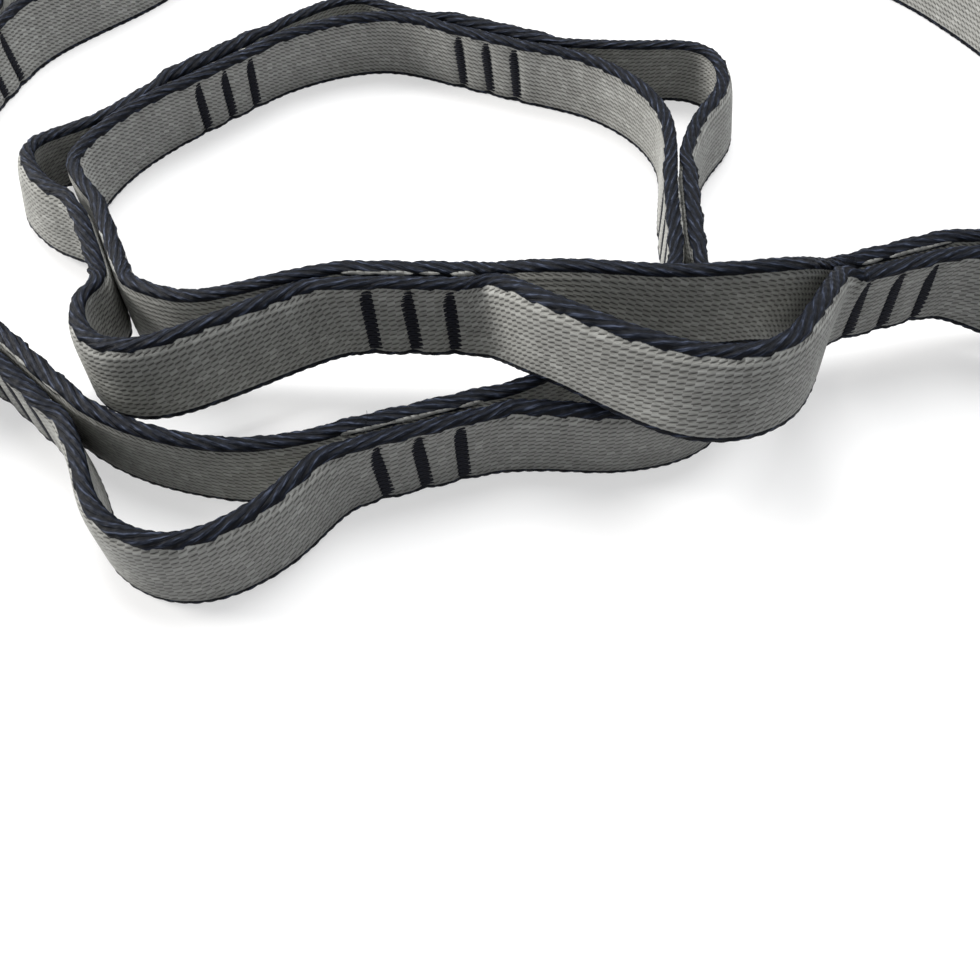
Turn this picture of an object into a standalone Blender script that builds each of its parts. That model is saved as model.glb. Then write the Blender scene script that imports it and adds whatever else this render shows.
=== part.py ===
"""Climbing daisy chain.

One long grey webbing sling is flattened, and rows of three bar tacks sew its two plies
together at fourteen stations. Between two stations the plies part into a pocket: a short
load ply and a longer slack ply that bulges outward. The webbing stands on its edge and lies
in a loose spiral, with pocket 10 lifted over the strand that leaves pocket 5.
The two ends are open loops. The chain folds sideways at the stations of its two tails.
"""

from math import ceil, cos, pi, radians, sin, tan

import bmesh
import bpy
from mathutils import Matrix, Vector

# Webbing, in metres
web_width = 0.018
web_thickness = 0.0034
edge_chamfer = 0.0008
edge_taper = 0.0012

# Play between pieces that touch, and how far a cutter runs past what it cuts
fit_gap = 0.0003
cut_overrun = 0.001

# Bar tacks: three rows of thread across the webbing at every station
tack_spacing = 0.0082
tack_margin = 0.0022
tack_width = 0.0024
tack_inset = 0.0014
tack_relief = 0.0006
stitch_width = 0.0012
carry_thread = 0.0005

# Layout of the chain
pocket_length = 0.064
lead_length = 0.0015
route_step = 0.0065
crossing_clearance = 0.0006

# Swinging plies are mitred back from the joint axis by this much, in degrees
swing_relief = 32

# End loops
girth_loop_length = 0.092
girth_loop_width = 0.034
clip_loop_length = 0.062
clip_loop_width = 0.027
loop_outline_shares = ((0.20, 0.22), (0.48, 0.46), (0.78, 0.47), (0.96, 0.27), (1.0, 0.08))

# Sizes that follow from the ones above
station_length = 2 * (tack_spacing + tack_margin)
tack_length = web_width - 2 * tack_inset
ply_offset = (web_thickness + fit_gap) / 2
stack_radius = web_thickness + fit_gap / 2
crossing_rise = web_width + crossing_clearance
weld_distance = fit_gap / 30

# Stations from the girth loop to the clip loop: place in plan as shares of the pocket
# length, heading and lean in degrees, and height over the table as a share of the crossing
station_shares = {
    1: (-1.54, 1.19, 244, 0, 0.0),
    2: (-2.22, 0.06, 256, 0, 0.0),
    3: (-2.58, -1.12, 293, 0, 0.0),
    4: (-1.51, -1.755, 318, 0, 0.0),
    5: (-0.255, -2.00, 17, 3, 0.0),
    6: (0.663, -1.01, 87, 2, 0.0),
    7: (-0.02, 0.14, 157, 5, 0.0),
    8: (-1.175, -0.07, 224, 9, 0.0),
    9: (-1.36, -1.23, 295, 0, 0.13),
    10: (-0.276, -1.59, -1, 6, 0.64),
    11: (1.25, -1.46, 19, 0, 0.54),
    12: (2.42, -1.08, 52, 0, 0.0),
    13: (2.42, 0.11, 110, 0, 0.0),
    14: (1.77, 1.20, 134, 0, 0.0),
}
plan_centre_shares = (0.0372, 0.106)

# Points that the face of each ply that looks into the pocket passes between two stations:
# place, height and lean as above
slack_route_shares = {
    1: ((-2.23, 0.73, 0.0, 2),),
    2: ((-2.73, -0.42, 0.0, 0),),
    3: ((-2.41, -1.67, 0.0, 0), (-2.17, -1.85, 0.0, 0), (-1.84, -1.61, 0.0, 0)),
    4: ((-1.23, -2.09, 0.001, 0), (-1.11, -2.32, 0.0, 0), (-0.91, -2.41, 0.0, 2), (-0.69, -2.31, 0.0, 5)),
    5: ((0.12, -1.93, 0.0, 0), (0.41, -1.94, 0.005, -2), (0.63, -1.86, 0.002, 0), (0.73, -1.70, 0.002, 0),
        (0.71, -1.44, 0.002, 1)),
    6: ((0.78, -0.50, 0.0, 9), (0.92, -0.24, 0.0, 10), (0.87, 0.01, 0.0, 9), (0.56, 0.03, 0.0, 4)),
    7: ((-0.39, 0.30, 0.0, 9), (-0.62, 0.42, 0.0, 10), (-0.89, 0.26, 0.0, 10)),
    8: ((-1.57, -0.475, 0.0, 11), (-1.78, -0.67, 0.07, 15), (-1.65, -0.91, 0.10, 7)),
    9: ((-1.325, -1.57, 0.27, 0), (-1.25, -1.74, 0.31, 3), (-1.10, -1.80, 0.39, 7), (-0.89, -1.74, 0.49, 9),
        (-0.62, -1.61, 0.55, 9)),
    10: ((0.17, -1.815, 1.04, 2), (0.36, -1.95, 1.10, 7), (0.57, -2.04, 1.12, 17), (0.77, -2.00, 1.12, 12),
         (0.90, -1.82, 1.02, 7), (0.98, -1.66, 0.80, 0)),
    11: ((1.71, -1.47, 0.42, 0), (2.02, -1.56, 0.26, 0)),
    12: ((2.83, -0.46, 0.0, 2),),
    13: ((2.37, 0.83, 0.0, 3),),
}
load_route_shares = {
    3: ((-2.09, -1.56, 0.0, 0),),
    4: ((-0.88, -2.10, 0.0, -2),),
    5: ((0.32, -1.72, 0.015, 2),),
    6: ((0.68, -0.40, 0.0, 7), (0.47, -0.09, 0.0, 6)),
    7: ((-0.56, 0.30, 0.0, 8),),
    8: ((-1.61, -0.70, 0.02, 2),),
    9: ((-1.15, -1.54, 0.27, 2), (-0.94, -1.62, 0.40, 1)),
    10: ((0.22, -1.68, 1.0, 3), (0.51, -1.73, 1.06, 6), (0.82, -1.69, 1.03, 4)),
}

# Pockets that stay with the middle of the chain; the others ride on a tail
first_middle_pocket = 4
last_middle_pocket = 10
last_pocket = 13
last_station = 14
splice_station = 1

load_side = 1
slack_side = -1


def clear_scene():
    """Remove whatever the file held before."""
    for thing in list(bpy.data.objects):
        bpy.data.objects.remove(thing)


def new_collection(name):
    collection = bpy.data.collections.new(name)
    bpy.context.scene.collection.children.link(collection)
    return collection


def new_material(name, colour, roughness):
    material = bpy.data.materials.new(name)
    material.use_nodes = True
    shader = material.node_tree.nodes["Principled BSDF"]
    shader.inputs["Base Color"].default_value = (*colour, 1)
    shader.inputs["Roughness"].default_value = roughness
    shader.inputs["Metallic"].default_value = 0
    return material


clear_scene()
parts = new_collection("climbing_daisy_chain")
cutters = new_collection("cutters")
webbing_grey = new_material("woven nylon webbing", (0.21, 0.205, 0.19), 0.75)
thread_black = new_material("bonded nylon thread", (0.011, 0.011, 0.014), 0.6)


def place_part(name, mesh, material):
    """A finished piece of the chain."""
    piece = bpy.data.objects.new(name, mesh)
    if not mesh.materials:
        mesh.materials.append(material)
    parts.objects.link(piece)
    return piece


def place_guide(name, data):
    """A cutter or a profile, which isn't part of the chain."""
    guide = bpy.data.objects.new(name, data)
    guide.hide_render = True
    guide.display_type = "WIRE"
    cutters.objects.link(guide)
    return guide


# Plan: stations, hinges and routes

def to_plan(x_share, y_share):
    centre_x_share, centre_y_share = plan_centre_shares
    return (x_share - centre_x_share) * pocket_length, (y_share - centre_y_share) * pocket_length


def half_height(lean, half_thickness):
    """Height of a leaning strap's middle over its lowest corner."""
    return web_width / 2 * cos(radians(lean)) + half_thickness * abs(sin(radians(lean)))


def station_frame(number):
    """X runs along the strand, Y to the load ply and Z up the webbing."""
    x_share, y_share, heading, lean, rise_share = station_shares[number]
    x, y = to_plan(x_share, y_share)
    z = rise_share * crossing_rise + half_height(lean, stack_radius)
    turn = Matrix.Rotation(radians(heading), 4, "Z") @ Matrix.Rotation(-radians(lean), 4, "X")
    return Matrix.Translation((x, y, z)) @ turn


def hinge_frame(station, outward):
    """The joint axis at a station's end: X points from the station into what swings."""
    end = Matrix.Translation((outward * station_length / 2, 0, 0))
    turn = Matrix.Rotation(0 if outward > 0 else pi, 4, "Z")
    return station_frame(station) @ end @ turn


def station_point(number, side, along, across=ply_offset):
    """A point of a ply at a station: place across the ply, height of its middle, and lean."""
    frame = station_frame(number)
    height = (frame @ Vector((along, side * ply_offset, 0))).z
    place = frame @ Vector((along, side * across, 0))
    return Vector((*place.xy, height, station_shares[number][3]))


def passing_point(x_share, y_share, rise_share, lean):
    """A point of a ply between two stations: place in plan, height of its middle, and lean."""
    x, y = to_plan(x_share, y_share)
    z = rise_share * crossing_rise + half_height(lean, web_thickness / 2)
    return Vector((x, y, z, lean))


def level_direction(matrix, sign=1):
    """The way a strand runs in plan."""
    along = matrix.to_3x3() @ Vector((sign, 0, 0))
    return Vector((along.x, along.y, 0, 0)).normalized()


def smooth_run(points, first_direction, last_direction):
    """Cubic Hermite curve through the points, stepped finely enough for its length."""
    tangents = [first_direction]
    for before, after in zip(points, points[2:]):
        tangents.append((after - before) / (after.xy - before.xy).length)
    tangents.append(last_direction)
    run = [points[0]]
    for index, (start, end) in enumerate(zip(points, points[1:])):
        reach = (end.xy - start.xy).length
        steps = max(1, ceil(reach / route_step))
        for step in range(1, steps + 1):
            t = step / steps
            run.append((2 * t**3 - 3 * t**2 + 1) * start
                       + (t**3 - 2 * t**2 + t) * reach * tangents[index]
                       + (3 * t**2 - 2 * t**3) * end
                       + (t**3 - t**2) * reach * tangents[index + 1])
    return run


def ply_middle(face, side, first_direction, last_direction):
    """From the line of the face that looks into the pocket to the ply's centre line."""
    middle = []
    for index, point in enumerate(face):
        if index == 0:
            along = first_direction
        elif index == len(face) - 1:
            along = last_direction
        else:
            along = face[index + 1] - face[index - 1]
        outward = side * Vector((-along.y, along.x)).normalized()
        reach = web_thickness / 2 * cos(radians(point.w))
        middle.append(Vector((*(point.xy + reach * outward), point.z, point.w)))
    return middle


def pocket_route(pocket, side):
    """A ply's centre line through its pocket and the stations that belong to its node."""
    before, after = pocket, pocket + 1
    shares = slack_route_shares if side == slack_side else load_route_shares
    half_station = station_length / 2
    directions = [level_direction(station_frame(number)) for number in (before, after)]
    points = [station_point(before, side, half_station + lead_length, fit_gap / 2)]
    points += [passing_point(*place) for place in shares.get(pocket, ())]
    points.append(station_point(after, side, -half_station - lead_length, fit_gap / 2))
    run = ply_middle(smooth_run(points, *directions), side, *directions)
    first_along = half_station if pocket > last_middle_pocket else -half_station
    if pocket < first_middle_pocket:
        last_along = -half_station
    elif pocket < last_middle_pocket:
        last_along = -half_station - fit_gap
    else:
        last_along = half_station
    return [station_point(before, side, first_along), *run, station_point(after, side, last_along)]


def loop_route(frame, length, width):
    """Out along one ply, round the bight and back along the other."""
    lean = 0
    side_points = [(lead_length, ply_offset)]
    side_points += [(x_share * length, y_share * width) for x_share, y_share in loop_outline_shares]
    outline = [(x, -y) for x, y in side_points] + [(x, y) for x, y in reversed(side_points)]
    points = [Vector((*(frame @ Vector((x, y, 0))), lean)) for x, y in outline]
    run = smooth_run(points, level_direction(frame), level_direction(frame, -1))
    ends = [Vector((*(frame @ Vector((0, side * ply_offset, 0))), lean)) for side in (-1, 1)]
    return [ends[0], *run, ends[1]]


# Webbing

def webbing_section():
    """Flat section with chamfered selvages: X is thickness, Y is width."""
    x_face = web_thickness / 2
    y_face = web_width / 2 - edge_taper
    x_edge = x_face - edge_chamfer
    y_edge = web_width / 2
    corner = [(x_face, y_face), (x_edge, y_edge), (-x_edge, y_edge), (-x_face, y_face)]
    outline = corner + [(-x, -y) for x, y in corner]
    curve = bpy.data.curves.new("webbing_section", "CURVE")
    curve.dimensions = "2D"
    spline = curve.splines.new("POLY")
    spline.points.add(len(outline) - 1)
    spline.use_cyclic_u = True
    for point, place in zip(spline.points, outline):
        point.co = (*place, 0, 1)
    return place_guide("webbing_section", curve)


def mesh_of(thing):
    """The evaluated shape of an object, with its doubles welded."""
    shape = thing.evaluated_get(bpy.context.evaluated_depsgraph_get())
    mesh = bpy.data.meshes.new_from_object(shape)
    model = bmesh.new()
    model.from_mesh(mesh)
    bmesh.ops.remove_doubles(model, verts=model.verts, dist=weld_distance)
    bmesh.ops.recalc_face_normals(model, faces=model.faces)
    model.to_mesh(mesh)
    model.free()
    return mesh


def make_strap(name, route, section):
    """Webbing swept along a route, standing on its edge and leaning as the route says."""
    curve = bpy.data.curves.new(name, "CURVE")
    curve.dimensions = "3D"
    curve.twist_mode = "Z_UP"
    curve.bevel_mode = "OBJECT"
    curve.bevel_object = section
    curve.use_fill_caps = True
    spline = curve.splines.new("POLY")
    spline.points.add(len(route) - 1)
    for point, place in zip(spline.points, route):
        point.co = (*place.xyz, 1)
        point.tilt = -radians(place.w)
    swept = bpy.data.objects.new(name + "_curve", curve)
    parts.objects.link(swept)
    mesh = mesh_of(swept)
    mesh.name = name
    bpy.data.objects.remove(swept)
    return place_part(name, mesh, webbing_grey)


def cut(piece, cutter):
    slot = piece.modifiers.new(cutter.name, "BOOLEAN")
    slot.operation = "DIFFERENCE"
    slot.solver = "EXACT"
    slot.object = cutter


# Cutters

def extruded(name, outline, height):
    """A flat outline raised to a prism about the plane z = 0."""
    model = bmesh.new()
    corners = [model.verts.new((x, y, -height / 2)) for x, y in outline]
    face = model.faces.new(corners)
    raised = bmesh.ops.extrude_face_region(model, geom=[face])
    top = [item for item in raised["geom"] if isinstance(item, bmesh.types.BMVert)]
    bmesh.ops.translate(model, verts=top, vec=(0, 0, height))
    bmesh.ops.recalc_face_normals(model, faces=model.faces)
    mesh = bpy.data.meshes.new(name)
    model.to_mesh(mesh)
    model.free()
    return mesh


def box_mesh(name, boxes):
    """Boxes given as (centre, size), kept in one mesh."""
    model = bmesh.new()
    for centre, size in boxes:
        matrix = Matrix.Translation(centre) @ Matrix.Diagonal((*size, 1))
        bmesh.ops.create_cube(model, size=1, matrix=matrix)
    mesh = bpy.data.meshes.new(name)
    model.to_mesh(mesh)
    model.free()
    return mesh


def mitre_mesh():
    """Trims the ends of two plies to a shallow wedge about the joint axis."""
    reach = stack_radius + cut_overrun
    set_back = fit_gap + reach * tan(radians(swing_relief))
    outline = [(fit_gap, 0), (set_back, reach), (-reach, reach), (-reach, -reach), (set_back, -reach)]
    return extruded("swing_mitre", outline, web_width + 2 * cut_overrun)


def stitch_holes_mesh():
    """The three slits that a station's thread passes through."""
    size = (stitch_width + 2 * fit_gap, 4 * stack_radius + 2 * cut_overrun, tack_length + 2 * fit_gap)
    places = [((row * tack_spacing, 0, 0), size) for row in (-1, 0, 1)]
    return box_mesh("stitch_holes", places)


# Bar tacks

def tack_outline(centre, low_face, high_face):
    """Plan of one bar tack: a head on either face and the stitches between them."""
    head = tack_width / 2
    stitch = stitch_width / 2
    low_head = low_face - fit_gap
    high_head = high_face + fit_gap
    outline = [(-head, low_head - tack_relief), (head, low_head - tack_relief), (head, low_head),
               (stitch, low_head), (stitch, high_head), (head, high_head), (head, high_head + tack_relief),
               (-head, high_head + tack_relief), (-head, high_head), (-stitch, high_head),
               (-stitch, low_head), (-head, low_head)]
    return [(centre + x, y) for x, y in outline]


def tack_row_mesh(name, low_face, high_face):
    """Three bar tacks and the thread that carries from one to the next on the slack face."""
    rows = []
    for row in (-1, 0, 1):
        outline = tack_outline(row * tack_spacing, low_face, high_face)
        rows.append(place_guide(name + "_row", extruded(name, outline, tack_length)))
    carry_size = (2 * tack_spacing, tack_relief / 2, carry_thread)
    carry_height = tack_length / 2 - carry_thread
    carry_face = low_face - fit_gap - tack_relief / 2
    carry = box_mesh(name + "_carry", [((0, carry_face, carry_height), carry_size)])
    rows.append(place_guide(name + "_carry", carry))
    for other in rows[1:]:
        join = rows[0].modifiers.new(other.name, "BOOLEAN")
        join.operation = "UNION"
        join.solver = "EXACT"
        join.object = other
    mesh = mesh_of(rows[0])
    for guide in rows:
        bpy.data.objects.remove(guide)
    return mesh


# Assembly

def hold_at(piece, anchor):
    """Parent a piece or an empty to the empty on its joint axis, where it stands."""
    bpy.context.view_layer.update()
    piece.parent = anchor
    piece.matrix_parent_inverse = anchor.matrix_world.inverted()


def place_anchor(name, matrix, anchor=None):
    empty = bpy.data.objects.new(name, None)
    empty.matrix_world = matrix
    parts.objects.link(empty)
    if anchor:
        hold_at(empty, anchor)
    return empty


def place_cutter(name, mesh, matrix):
    cutter = place_guide(name, mesh)
    cutter.matrix_world = matrix
    return cutter


def station_anchor(number):
    """The joint that carries a station, if it belongs to a tail."""
    if number < first_middle_pocket:
        return anchors[number + 1]
    if number > last_middle_pocket + 1:
        return anchors[number - 1]
    return None


section = webbing_section()
holes_shape = stitch_holes_mesh()
mitre_shape = mitre_mesh()
splice_face = -stack_radius - fit_gap - web_thickness
tack_shape = tack_row_mesh("bar_tacks", -stack_radius, stack_radius)
splice_tack_shape = tack_row_mesh("splice_bar_tacks", splice_face, stack_radius)

holes = {number: place_cutter(f"stitch_holes_{number:02d}", holes_shape, station_frame(number))
         for number in station_shares}

# The joint axes: the first tail swings at the starts of stations 4 to 1, the second tail
# at the ends of stations 11 to 14
start_hinges = list(range(first_middle_pocket, 0, -1))
end_hinges = list(range(last_middle_pocket + 1, last_station + 1))
hinges = {number: hinge_frame(number, -1) for number in start_hinges}
hinges |= {number: hinge_frame(number, 1) for number in end_hinges}
mitres = {number: place_cutter(f"swing_mitre_{number:02d}", mitre_shape, matrix)
          for number, matrix in hinges.items()}

anchors = {}
for chain in (start_hinges, end_hinges):
    parent = None
    for number in chain:
        anchors[number] = parent = place_anchor(f"swing_{number:02d}", hinges[number], parent)

for pocket in range(1, last_pocket + 1):
    if pocket < first_middle_pocket:
        stations, swings_at = [pocket], pocket + 1
    elif pocket < last_middle_pocket:
        stations, swings_at = [pocket], None
    elif pocket == last_middle_pocket:
        stations, swings_at = [pocket, pocket + 1], None
    else:
        stations, swings_at = [pocket + 1], pocket
    for side, ply in ((load_side, "load_ply"), (slack_side, "slack_ply")):
        strap = make_strap(f"pocket_{pocket:02d}_{ply}", pocket_route(pocket, side), section)
        for number in stations:
            cut(strap, holes[number])
        if swings_at:
            cut(strap, mitres[swings_at])
            hold_at(strap, anchors[swings_at])

for number in station_shares:
    shape = splice_tack_shape if number == splice_station else tack_shape
    tacks = place_part(f"bar_tacks_{number:02d}", shape, thread_black)
    tacks.matrix_world = station_frame(number)
    if station_anchor(number):
        hold_at(tacks, station_anchor(number))

# The sling's two cut ends overlap at the first station, so one more ply lies on the slack side
splice_middle = -stack_radius - fit_gap - web_thickness / 2
splice_reach = tack_spacing + tack_width / 2
splice_ends = [station_frame(splice_station) @ Vector((along, splice_middle, 0))
               for along in (-splice_reach, 0, splice_reach)]
splice = make_strap("splice_overlap", [Vector((*place, 0)) for place in splice_ends], section)
cut(splice, holes[splice_station])
hold_at(splice, station_anchor(splice_station))

for name, number, length, width in (
        ("girth_loop", 1, girth_loop_length, girth_loop_width),
        ("clip_loop", last_station, clip_loop_length, clip_loop_width)):
    loop = make_strap(name, loop_route(hinges[number], length, width), section)
    cut(loop, mitres[number])
    hold_at(loop, anchors[number])
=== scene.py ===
"""The looks of a climbing daisy chain.

Two plies of ribbed nylon webbing with dark twisted selvages stand on edge, and rows of three
bar tacks in black thread join them at fourteen stations. Each ply is swept along the same
route as its solid. The chain lies on a white table under soft light.
"""

from math import ceil, cos, pi, radians, sin

import bmesh
import bpy
import numpy as np
from mathutils import Matrix, Vector, noise


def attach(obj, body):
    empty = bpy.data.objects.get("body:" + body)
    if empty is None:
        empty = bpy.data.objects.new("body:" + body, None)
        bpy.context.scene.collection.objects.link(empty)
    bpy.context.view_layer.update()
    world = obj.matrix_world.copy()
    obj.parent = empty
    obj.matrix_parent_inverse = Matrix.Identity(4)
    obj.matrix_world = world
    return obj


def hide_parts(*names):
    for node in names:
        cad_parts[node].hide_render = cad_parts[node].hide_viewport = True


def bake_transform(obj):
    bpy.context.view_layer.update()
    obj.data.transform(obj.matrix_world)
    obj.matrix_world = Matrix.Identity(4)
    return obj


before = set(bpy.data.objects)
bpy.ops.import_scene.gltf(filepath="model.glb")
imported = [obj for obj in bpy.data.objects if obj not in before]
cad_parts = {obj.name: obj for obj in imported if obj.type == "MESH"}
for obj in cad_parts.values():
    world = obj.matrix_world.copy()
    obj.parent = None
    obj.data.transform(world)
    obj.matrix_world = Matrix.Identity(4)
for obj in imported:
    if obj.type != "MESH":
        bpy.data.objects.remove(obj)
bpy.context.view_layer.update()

MM = 0.001

# Webbing and layout, the same sizes and routes as the solids have, in metres
web_width = 0.018
web_thickness = 0.0034
fit_gap = 0.0003
tack_spacing = 0.0082
tack_margin = 0.0022
pocket_length = 0.064
lead_length = 0.0015
crossing_clearance = 0.0006
girth_loop_length = 0.092
girth_loop_width = 0.034
clip_loop_length = 0.062
clip_loop_width = 0.027
loop_outline_shares = ((0.20, 0.22), (0.48, 0.46), (0.78, 0.47), (0.96, 0.27), (1.0, 0.08))

station_length = 2 * (tack_spacing + tack_margin)
half_station = station_length / 2
ply_offset = (web_thickness + fit_gap) / 2
stack_radius = web_thickness + fit_gap / 2
crossing_rise = web_width + crossing_clearance

# Stations from the girth loop to the clip loop: place in plan as shares of the pocket
# length, heading and lean in degrees, and height over the table as a share of the crossing
station_shares = {
    1: (-1.54, 1.19, 244, 0, 0.0),
    2: (-2.22, 0.06, 256, 0, 0.0),
    3: (-2.58, -1.12, 293, 0, 0.0),
    4: (-1.51, -1.755, 318, 0, 0.0),
    5: (-0.255, -2.00, 17, 3, 0.0),
    6: (0.663, -1.01, 87, 2, 0.0),
    7: (-0.02, 0.14, 157, 5, 0.0),
    8: (-1.175, -0.07, 224, 9, 0.0),
    9: (-1.36, -1.23, 295, 0, 0.13),
    10: (-0.276, -1.59, -1, 6, 0.64),
    11: (1.25, -1.46, 19, 0, 0.54),
    12: (2.42, -1.08, 52, 0, 0.0),
    13: (2.42, 0.11, 110, 0, 0.0),
    14: (1.77, 1.20, 134, 0, 0.0),
}
plan_centre_shares = (0.0372, 0.106)

# Points that the face of each ply that looks into the pocket passes between two stations:
# place, height and lean as above
slack_route_shares = {
    1: ((-2.23, 0.73, 0.0, 2),),
    2: ((-2.73, -0.42, 0.0, 0),),
    3: ((-2.41, -1.67, 0.0, 0), (-2.17, -1.85, 0.0, 0), (-1.84, -1.61, 0.0, 0)),
    4: ((-1.23, -2.09, 0.001, 0), (-1.11, -2.32, 0.0, 0), (-0.91, -2.41, 0.0, 2), (-0.69, -2.31, 0.0, 5)),
    5: ((0.12, -1.93, 0.0, 0), (0.41, -1.94, 0.005, -2), (0.63, -1.86, 0.002, 0), (0.73, -1.70, 0.002, 0),
        (0.71, -1.44, 0.002, 1)),
    6: ((0.78, -0.50, 0.0, 9), (0.92, -0.24, 0.0, 10), (0.87, 0.01, 0.0, 9), (0.56, 0.03, 0.0, 4)),
    7: ((-0.39, 0.30, 0.0, 9), (-0.62, 0.42, 0.0, 10), (-0.89, 0.26, 0.0, 10)),
    8: ((-1.57, -0.475, 0.0, 11), (-1.78, -0.67, 0.07, 15), (-1.65, -0.91, 0.10, 7)),
    9: ((-1.325, -1.57, 0.27, 0), (-1.25, -1.74, 0.31, 3), (-1.10, -1.80, 0.39, 7), (-0.89, -1.74, 0.49, 9),
        (-0.62, -1.61, 0.55, 9)),
    10: ((0.17, -1.815, 1.04, 2), (0.36, -1.95, 1.10, 7), (0.57, -2.04, 1.12, 17), (0.77, -2.00, 1.12, 12),
         (0.90, -1.82, 1.02, 7), (0.98, -1.66, 0.80, 0)),
    11: ((1.71, -1.47, 0.42, 0), (2.02, -1.56, 0.26, 0)),
    12: ((2.83, -0.46, 0.0, 2),),
    13: ((2.37, 0.83, 0.0, 3),),
}
load_route_shares = {
    3: ((-2.09, -1.56, 0.0, 0),),
    4: ((-0.88, -2.10, 0.0, -2),),
    5: ((0.32, -1.72, 0.015, 2),),
    6: ((0.68, -0.40, 0.0, 7), (0.47, -0.09, 0.0, 6)),
    7: ((-0.56, 0.30, 0.0, 8),),
    8: ((-1.61, -0.70, 0.02, 2),),
    9: ((-1.15, -1.54, 0.27, 2), (-0.94, -1.62, 0.40, 1)),
    10: ((0.22, -1.68, 1.0, 3), (0.51, -1.73, 1.06, 6), (0.82, -1.69, 1.03, 4)),
}
first_middle_pocket = 4
last_middle_pocket = 10
last_pocket = 13
last_station = 14
splice_station = 1
load_side = 1
slack_side = -1

# Weave: twelve ribs across each face, each a row of warp floats. The photograph's webbing has
# 15 or 16, so this weave is coarser than the real one.
rib_count = 12
rib_pitch = 1.2 * MM
rib_height = 0.10 * MM
rib_roundness = 0.6
points_per_rib = 4
float_pitch = 1.55 * MM
float_slant_share = 0.48
float_shift_share = 0.35
ring_step = 0.45 * MM
relax_passes = 90

# What the weave adds to the tone of the faces, as shares of the grey ramp, with painted shade in the gaps
# between floats and a painted highlight on a few floats
rib_gap_power = 0.42
dash_base_share = 0.72
dash_bulge_share = 0.45
tone_base = -0.24
relief_shade_tone = 0.70
filament_tone = 0.46
float_tone = 0.06
painted_glint_power = 9.0
painted_glint_tone = 0.14
mottle_tone = 0.16

# Filaments lie along the floats, and the dye varies slowly
filament_length = 5 / 3 * MM
filament_width = MM / 7
filament_height_share = 0.35
mottle_size = 6.25 * MM
weave_depth = 0.14 * MM

# Selvages: dark twisted cords that run along both edges and slowly over them
selvage_points = 18
selvage_bead = 0.62 * MM
bottom_bead_share = 0.75
cord_pitch = 1.05 * MM
cord_lay_degrees = 12
cord_ridge = 0.17 * MM
cord_roundness = 0.7
cord_level = 0.7
twist_pitch = 2.0 * MM
twist_ridge = 0.10 * MM
twist_stagger = 0.37
selvage_fade = 0.7 * MM
dark_top_outer = 8.1 * MM
dark_top_inner = 8.0 * MM
dark_top_groove = 7.6 * MM
dark_bottom = 7.7 * MM

# What the strands add to the tone of the cords, as shares of the black ramp, with painted glints on the
# strands and painted shade in the gaps between cords
strand_length = 3.2 * MM
strand_width = 0.28 * MM
strand_height_share = 1.5
strand_and_glint_tone = 0.85
cord_tone_base = -0.12
cord_gap_shade_tone = 0.45

# The cords end in a slightly ragged line on the face
ragged_size = 5 / 7 * MM
ragged_share = 0.22
cover_start = 0.12
cover_end = 0.30

# The lowest cord at the top edge leaves the face in long wedges
wedge_length = 6.5 * MM
wedge_depth = 0.5 * MM
wedge_power = 1.5
wedge_return_share = 0.15
wedge_seed = 3

# Pale yarn shows as a ragged streak in the groove between the plies at a station, where the
# load ply's inner shoulder has this upward tilt
streak_depth = 3.2 * MM
streak_tilt = 0.62
streak_spread = 0.11
streak_share = 0.36
streak_seed = 5.3

# How the bar tacks draw the webbing in
pinch_reach = 1.5 * MM
pinch_depth = 0.42 * MM
pinch_edge = 0.16 * MM
pillow_height = 0.14 * MM
station_flare = 0.80 * MM
flare_reach = 7 * MM

# How the free webbing wavers, and how its top edge curls in on the longer plies
top_curl = 1.2 * MM
wander = 0.16 * MM
wander_length = 15 * MM
edge_wander = 0.10 * MM
edge_wander_length = 5 * MM
edge_wander_seed = 2
edge_power = 4

# Bar tacks: three rows at each station, in steps of the tack spacing from its middle
tack_rows = (-1, 0, 1)
tack_thread = 0.32 * MM
tack_half_width = 1.75 * MM
tack_core_half_width = 1.20 * MM
tack_lift = 0.12 * MM
tack_slant_degrees = 6
tack_seed = Vector((0.5, 0.3, 0.4))
thread_sides = 6
carry_sag = 0.1 * MM
carry_points = 13
thread_fibre = 0.35 * MM
thread_relief = 0.05 * MM
thread_relief_strength = 0.6

# How far a ply's ends lap over each other under a bar tack
ply_lap = 0.6 * MM

# Loose filaments that stand up from the selvage: the station, and the place along it
frays = {5: -9 * MM, 6: 0, 11: -9 * MM}
fray_count = 12
fray_thread = 0.04 * MM
fray_length = 3.0 * MM
fray_spread = 1.6 * MM
fray_rise_share = 0.6
fray_fall_share = 0.35
fray_steps = 5
fray_sides = 4
fray_aim_seed = (0.37, 0.5, 0.3)
fray_curl_seed = (0.53, 1.5, 0.7)
fray_noise_seed = 7

# Camera and stage
sensor_width = 36
picture_pixels = 980
focal_pixels = 950
camera_pitch = 55
camera_height = 0.158
camera_right = -0.002
camera_back = -0.242
table_half_size = 12.0
table_glow_share = 0.55
world_strength = 0.28
lamp_target = (0, -0.05, 0)

# Name, place, size, power in watts and colour
lamps = (
    ("key", (-0.8, 0.1, 0.45), 0.35, 9.5, "#fffcf8"),
    ("rim", (-0.6, 0.7, 0.5), 0.4, 1.0, "#ffffff"),
    ("fill", (0.8, 0.0, 0.45), 0.4, 1.0, "#f4f8ff"),
    ("overhead", (0.0, 0.3, 0.9), 0.6, 11.0, "#ffffff"),
)

face_half = rib_count * rib_pitch / 2
weld = fit_gap / 100


# Colours and nodes

def linear(hex_colour):
    """An sRGB hex colour as linear RGBA."""
    channels = [int(hex_colour[i:i + 2], 16) / 255 for i in (1, 3, 5)]
    return tuple(c / 12.92 if c <= 0.04045 else ((c + 0.055) / 1.055) ** 2.4 for c in channels) + (1,)


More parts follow.
